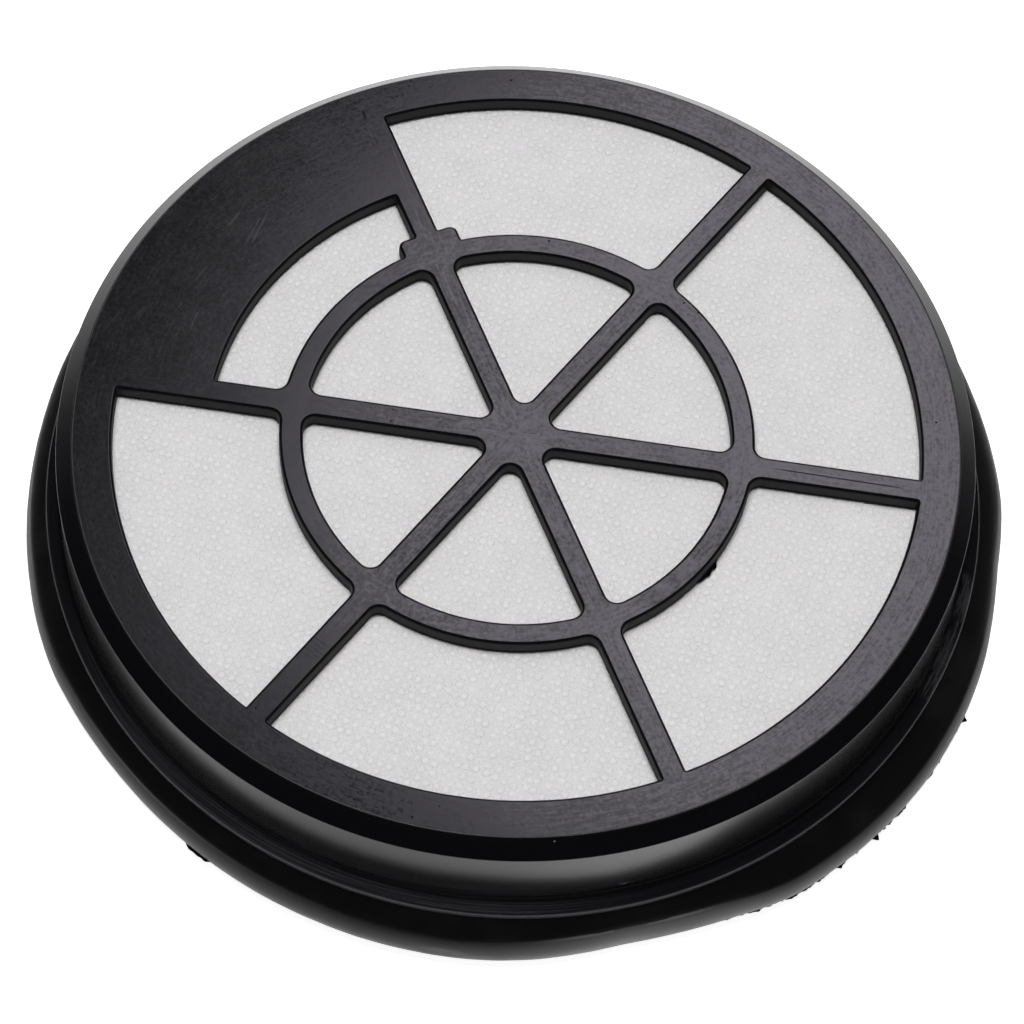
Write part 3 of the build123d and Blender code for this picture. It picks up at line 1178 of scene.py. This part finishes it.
def close_underneath(mesh, z):
    """Give an open sheet an upright edge and a flat underside at height z."""
    sheet = bmesh.new()
    sheet.from_mesh(mesh)
    edges = [edge for edge in sheet.edges if edge.is_boundary]
    grown = bmesh.ops.extrude_edge_only(sheet, edges=edges)["geom"]
    for vert in grown:
        if isinstance(vert, bmesh.types.BMVert):
            vert.co.z = z
    rim = [edge for edge in grown if isinstance(edge, bmesh.types.BMEdge) and edge.is_boundary]
    bmesh.ops.edgeloop_fill(sheet, edges=rim)
    bmesh.ops.recalc_face_normals(sheet, faces=sheet.faces[:])
    sheet.to_mesh(mesh)
    sheet.free()
    smooth(mesh)


class FILTER_OT_lay_fleece(bpy.types.Operator):
    """Lay the embossed cover fleece under the grille"""

    bl_idname = "exhaust_filter.lay_fleece"
    bl_label = "Lay the fleece"

    def execute(self, context):
        scene = context.scene
        sizes = scene.filter_fleece
        material = bonded_fleece(scene.filter_finishes, sizes)
        radius = FLEECE_HIGH.x
        values = {
            "Radius": radius, "Pitch": sizes.dot_pitch, "Dot Height": sizes.dot_height,
            "Turn": sizes.dot_turn, "Sag": sizes.sag, "Top": FLEECE_HIGH.z, "Finish": material,
            "Cells": 2 * CELLS_PER_DOT * ceil(radius / sizes.dot_pitch + 1),
        }
        mesh = grow_mesh(fleece_tree(), values)
        close_underneath(mesh, FLEECE_LOW.z)
        piece = add_piece("cover_sheet", mesh, material)
        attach(piece, ROOT_BODY)
        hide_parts("cover_fleece")
        return {"FINISHED"}


# Pleated paper and hot-melt

STEPS_PER_FOLD = 10
PLEAT_ROWS = 40
# Sharpness of the folds, from a wave at 0 to a zigzag at 1, and the height of that wave
FOLD_SHARPNESS = 0.997
FOLD_HEIGHT = asin(FOLD_SHARPNESS)


def pleat_tree():
    """Paper folded to and fro: a rounded zigzag along X, trimmed round at both ends of every fold."""
    tree, start, given = geometry_tree(
        "folded_paper",
        {
            "Radius": NUMBER, "Pitch": NUMBER, "Low": NUMBER, "High": NUMBER, "Wander": NUMBER,
            "Folds": COUNT, "Finish": MATERIAL,
        },
    )
    steps = given["Folds"] * STEPS_PER_FOLD + 1
    grid = start.node(
        "GeometryNodeMeshGrid", None,
        {"Size X": given["Folds"] * pi, "Size Y": 2.0, "Vertices X": steps, "Vertices Y": PLEAT_ROWS},
    )
    phase, across, _ = parts_of(start.node("GeometryNodeInputPosition"))
    x = phase * given["Pitch"] / (2 * pi)
    reach = (given["Radius"] * given["Radius"] - x * x).math("MAXIMUM", 0.0).math("SQRT")
    fold = (phase.math("SINE") * FOLD_SHARPNESS).math("ARCSINE") / FOLD_HEIGHT
    drift = mottle(start, vector_of(start, x * 130.0, across * reach * 24.0), 1.0, 2.0) - 0.5
    end_slack = mottle(start, vector_of(start, x * 700.0, 2.0), 1.0, 1.0) * given["Wander"]
    half = (given["High"] - given["Low"] - given["Wander"]) / 2
    z = (given["High"] + given["Low"]) / 2 + fold * half + drift * given["Wander"] * abs(fold)
    y = across * (reach - end_slack).math("MAXIMUM", 0.0)
    placed = vector_of(start, x + drift * given["Wander"], y, z)
    folded = start.node("GeometryNodeSetPosition", None, {"Geometry": grid, "Position": placed})
    end_tree(start, folded, given["Finish"])
    return tree


class FILTER_OT_fold_media(bpy.types.Operator):
    """Fold the filter paper"""

    bl_idname = "exhaust_filter.fold_media"
    bl_label = "Fold the paper"

    def execute(self, context):
        scene = context.scene
        sizes = scene.filter_media
        material = pleat_paper(scene.filter_finishes)
        radius = MEDIA_HIGH.x
        half_paper = sizes.paper / 2
        values = {
            "Radius": radius, "Pitch": sizes.pleat_pitch, "Low": MEDIA_LOW.z + half_paper,
            "High": MEDIA_HIGH.z - half_paper, "Wander": sizes.fold_wander, "Finish": material,
            "Folds": 2 * int(2 * (radius - sizes.pleat_pitch / 4) / sizes.pleat_pitch),
        }
        mesh = grow_mesh(pleat_tree(), values)
        piece = add_piece("pleated_paper", mesh, material)
        skin = piece.modifiers.new("paper", "SOLIDIFY")
        skin.thickness = sizes.paper
        skin.offset = 0
        solid = bpy.data.meshes.new_from_object(piece.evaluated_get(context.evaluated_depsgraph_get()))
        piece.modifiers.remove(skin)
        piece.data = solid
        smooth(solid)
        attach(piece, ROOT_BODY)
        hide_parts("pleated_media")
        return {"FINISHED"}


MELT_SEGMENTS = 360
MELT_CLEARANCE = 0.05 * MM


def hot_melt_mesh(sizes):
    """Hot-melt ring between the folds and the wall, with a wavy skin where it set."""
    inner_r, outer_r = MEDIA_HIGH.x + MELT_CLEARANCE, MELT_HIGH.x
    middle_r = (inner_r + outer_r) / 2
    section = (
        (inner_r, MELT_LOW.z, 0.5), (middle_r, MELT_LOW.z, 1.0), (outer_r, MELT_LOW.z, 0.3),
        (outer_r, MELT_HIGH.z, -0.3), (middle_r, MELT_HIGH.z, -1.0), (inner_r, MELT_HIGH.z, -0.5),
    )

    def set_at(way, _):
        places = []
        for r, z, share in section:
            wave = 0.5 + 0.5 * noise.noise(Vector((way.x * 14, way.y * 14, r * 300)))
            places.append((r, z + wave * share * sizes.melt_wander))
        return places

    shell = bmesh.new()
    lathe(shell, MELT_SEGMENTS, set_at)
    return skin_of(shell, "hot_melt_ring")


class FILTER_OT_pour_hot_melt(bpy.types.Operator):
    """Pour the hot-melt ring that holds the paper"""

    bl_idname = "exhaust_filter.pour_hot_melt"
    bl_label = "Pour the hot-melt"

    def execute(self, context):
        scene = context.scene
        mesh = hot_melt_mesh(scene.filter_media)
        piece = add_piece("hot_melt_ring", mesh, set_hot_melt(scene.filter_finishes))
        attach(piece, ROOT_BODY)
        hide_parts("potting_ring")
        return {"FINISHED"}


# Stage

IMAGE_SIDE = 1024
SENSOR = 36.0
HUB_PIXEL = (517.42, 433.13)
FLOOR_REACH = 3.5
WHITE, BLACK = (1, 1, 1), (0, 0, 0)
# World's strength as a light
WORLD_DIM = 0.12
# Softboxes, in metres: right of the camera's side, away from it, up, and size
OVERHEAD_LAMP = (-0.03, -0.03, 1.10, 0.56)
GLINT_LAMP = (0.21, 1.52, 2.61, 0.80)
SIDE_LAMP = (-0.24, 1.34, 2.63, 0.34)
# Places on the floor are in millimetres, and each pair says where something starts and where it is whole
# Glow where the floor is looked at: near the part, and whitening away from it
FLOOR_GLOW = 0.90
FLOOR_WHITE = (120.0, 300.0)
# Far floor, which is darker in mirrors and as a light
FLOOR_DIM = (112.0, 345.0)
# Patches of painted light on the floor, which glow only for mirrors so that the part reflects them: behind
# it, beside it and close round its foot
FLOOR_POOL, POOL_FADE, POOL_GLOW = (-9.0, 100.0), (245.0, 20.0), 0.65
SIDE_POOL, SIDE_FADE, SIDE_GLOW = (67.6, -79.1), (97.0, 15.0), 0.60
CONTACT_FADE, CONTACT_GLOW = (82.0, 78.5), 0.60
# Painted glow on the floor under the part, which only diffuse rays see, so that its underside is lit in views
# from below
UNDER_FADE, UNDER_GLOW = (72.0, 62.0), 0.55
# Ring of floor in front of the part painted darker, which only mirrors see
MIRROR_DIM, MIRROR_DIM_END, MIRROR_FRONT = (90.0, 106.0), (180.0, 140.0), (0.0, -45.0)


def set_camera(stage):
    """Camera at the photograph's angle, turned so that the hub falls on its pixel."""
    back = Vector((0, -cos(stage.elevation), sin(stage.elevation)))
    right = Vector((1, 0, 0))
    level = Matrix((right, back.cross(right), back))
    focal = stage.lens / SENSOR * IMAGE_SIDE
    aim = Vector(((HUB_PIXEL[0] - IMAGE_SIDE / 2) / focal, (IMAGE_SIDE / 2 - HUB_PIXEL[1]) / focal, -1))
    lean = Vector((0, 0, -1)).rotation_difference(aim).to_matrix()
    facing = (lean @ Matrix.Rotation(-stage.roll, 3, "Z") @ level).transposed()
    place = Vector((0, 0, TOP_Z)) + back * stage.distance
    data = bpy.data.cameras.new("photo_camera")
    data.lens = stage.lens
    data.sensor_width = SENSOR
    data.clip_start, data.clip_end = 0.01, 20
    camera = bpy.data.objects.new("photo_camera", data)
    bpy.context.scene.collection.objects.link(camera)
    set_turn = Matrix.Rotation(stage.turn, 4, "Z")
    camera.matrix_world = set_turn @ Matrix.Translation(place) @ facing.to_4x4()
    bpy.context.scene.camera = camera


def add_lamp(stage, name, right, away, up, size, power, tint):
    """Round softbox at a place given from the camera's side, aimed at the part."""
    data = bpy.data.lights.new(name, "AREA")
    data.shape = "DISK"
    data.size = size
    data.energy = power
    data.color = tint
    lamp = bpy.data.objects.new(name, data)
    bpy.context.scene.collection.objects.link(lamp)
    place = Matrix.Rotation(stage.turn, 3, "Z") @ Vector((right, away, up))
    lamp.location = place
    lamp.rotation_mode = "QUATERNION"
    lamp.rotation_quaternion = (Vector((0, 0, TOP_Z)) - place).to_track_quat("-Z", "Y")
    return lamp


def seen_directly(start, looked_at=1.0, mirrored=1.0):
    """A strength for camera and transmission rays, one for glossy rays and 0 for the rest."""
    path = start.node("ShaderNodeLightPath")
    direct = path.also("Is Camera Ray") + path.also("Is Transmission Ray")
    return direct * looked_at + path.also("Is Glossy Ray") * mirrored


def studio_floor(finish):
    """Pale paper that glows where it is looked at, keeps the shadow, and can be seen through from below; for
    mirrors it bears painted patches of light and a painted darker ring, and a painted glow under the part
    lights its underside.
    """
    material, start, shader = new_material("studio_floor")
    place = object_place(start)
    x, y, _ = parts_of(place)
    away = away_from(x, y)
    path = start.node("ShaderNodeLightPath")
    painted_pools = away_from(x, y, FLOOR_POOL).ramp(*POOL_FADE) * POOL_GLOW
    painted_pools = painted_pools + away_from(x, y, SIDE_POOL).ramp(*SIDE_FADE) * SIDE_GLOW
    painted_pools = painted_pools + away.ramp(*CONTACT_FADE) * CONTACT_GLOW
    looked_at = FLOOR_GLOW + away.ramp(*FLOOR_WHITE) * (1 - FLOOR_GLOW)
    ring = path.also("Is Glossy Ray") * away.ramp(*MIRROR_DIM) * away.ramp(*MIRROR_DIM_END)
    dim = away.ramp(*FLOOR_DIM) + mottle(start, place, 0.01) * 0.03 + ring * y.ramp(*MIRROR_FRONT)
    painted_under_glow = path.also("Is Diffuse Ray") * away.ramp(*UNDER_FADE) * UNDER_GLOW
    glow = seen_directly(start, looked_at, painted_pools) + painted_under_glow
    dress(start, shader, {
        "Base Color": mix_colour(start, dim.math("MINIMUM", 1.0), finish.floor, finish.floor_far),
        "Roughness": 1.0,
        "Specular IOR Level": 0.0,
        "Emission Color": mix_colour(start, glow, BLACK, WHITE),
        "Emission Strength": 1.0,
    })
    below = start.node("ShaderNodeNewGeometry", output="Backfacing")
    mix_shader(start, below, shader, start.node("ShaderNodeBsdfTransparent"))
    return material


def dark_cloth(finish):
    """Dark cloth round the set, which only mirrors see."""
    material, start, shader = new_material("dark_cloth")
    weave = mottle(start, object_place(start), 0.02, 2.0)
    dress(start, shader, {
        "Base Color": opaque(BLACK),
        "Specular IOR Level": 0.0,
        "Emission Color": mix_colour(start, weave * 0.3, finish.surroundings, BLACK),
        "Emission Strength": 1.0,
    })
    return material


def disc_mesh(name, radius):
    """Flat round floor."""
    shell = bmesh.new()
    bmesh.ops.create_circle(shell, cap_ends=True, segments=96, radius=radius)
    return mesh_of(shell, name)


def dome_mesh(name, radius):
    """Half a sphere, facing inwards."""
    shell = bmesh.new()
    bmesh.ops.create_uvsphere(shell, u_segments=64, v_segments=32, radius=radius)
    low = [vert for vert in shell.verts if vert.co.z < -MM]
    bmesh.ops.delete(shell, geom=low, context="VERTS")
    bmesh.ops.reverse_faces(shell, faces=shell.faces[:])
    return mesh_of(shell, name)


def set_world():
    """White where it is looked at, dim as a light."""
    world = bpy.data.worlds.new("studio")
    world.use_nodes = True
    bpy.context.scene.world = world
    start = Wire(world.node_tree)
    background = world.node_tree.nodes["Background"]
    strength = seen_directly(start) * (1 - WORLD_DIM) + WORLD_DIM
    dress(start, background, {"Color": opaque(WHITE), "Strength": strength})


class FILTER_OT_set_stage(bpy.types.Operator):
    """Set the floor, lamps and camera"""

    bl_idname = "exhaust_filter.set_stage"
    bl_label = "Set the stage"

    def execute(self, context):
        scene = context.scene
        stage, finish = scene.filter_stage, scene.filter_finishes
        floor = add_piece("studio_floor", disc_mesh("studio_floor", FLOOR_REACH), studio_floor(finish))
        dome = add_piece("dark_cloth", dome_mesh("dark_cloth", FLOOR_REACH), dark_cloth(finish))
        for way in ("camera", "diffuse", "transmission", "volume_scatter", "shadow"):
            setattr(dome, "visible_" + way, False)
        overhead = add_lamp(stage, "overhead_softbox", *OVERHEAD_LAMP, stage.overhead, WHITE)
        overhead.visible_glossy = False
        add_lamp(stage, "glint_softbox", *GLINT_LAMP, stage.glint, finish.glint)
        add_lamp(stage, "side_softbox", *SIDE_LAMP, stage.side, finish.glint)
        set_camera(stage)
        set_world()
        scene.view_settings.view_transform = "Standard"
        return {"FINISHED"}


# Panel and registration

OPERATORS = (
    FILTER_OT_mould_frame,
    FILTER_OT_fit_seal,
    FILTER_OT_fold_media,
    FILTER_OT_pour_hot_melt,
    FILTER_OT_lay_fleece,
    FILTER_OT_set_stage,
)
SETTINGS = {
    "filter_frame": FrameSizes,
    "filter_seal": SealSizes,
    "filter_fleece": FleeceSizes,
    "filter_media": MediaSizes,
    "filter_finishes": Finishes,
    "filter_stage": StageSettings,
}


class VIEW3D_PT_exhaust_filter(bpy.types.Panel):
    """Sizes, colours and steps of the filter"""

    bl_label = "Exhaust filter"
    bl_space_type = "VIEW_3D"
    bl_region_type = "UI"
    bl_category = "Exhaust filter"

    def draw(self, context):
        for operator in OPERATORS:
            self.layout.operator(operator.bl_idname)
        for name, group in SETTINGS.items():
            box = self.layout.box()
            box.label(text=group.__doc__)
            for key in group.__annotations__:
                box.prop(getattr(context.scene, name), key)


CLASSES = (*SETTINGS.values(), *OPERATORS, VIEW3D_PT_exhaust_filter)


def register():
    """Register the classes and hang the settings on the scene."""
    for kind in CLASSES:
        bpy.utils.register_class(kind)
    for name, group in SETTINGS.items():
        setattr(bpy.types.Scene, name, PointerProperty(type=group))


def unregister():
    """Undo register."""
    for name in SETTINGS:
        delattr(bpy.types.Scene, name)
    for kind in reversed(CLASSES):
        bpy.utils.unregister_class(kind)


def main():
    """Build every piece and set the stage."""
    register()
    bpy.ops.exhaust_filter.mould_frame()
    bpy.ops.exhaust_filter.fit_seal()
    bpy.ops.exhaust_filter.fold_media()
    bpy.ops.exhaust_filter.pour_hot_melt()
    bpy.ops.exhaust_filter.lay_fleece()
    bpy.ops.exhaust_filter.set_stage()


if __name__ == "__main__":
    main()
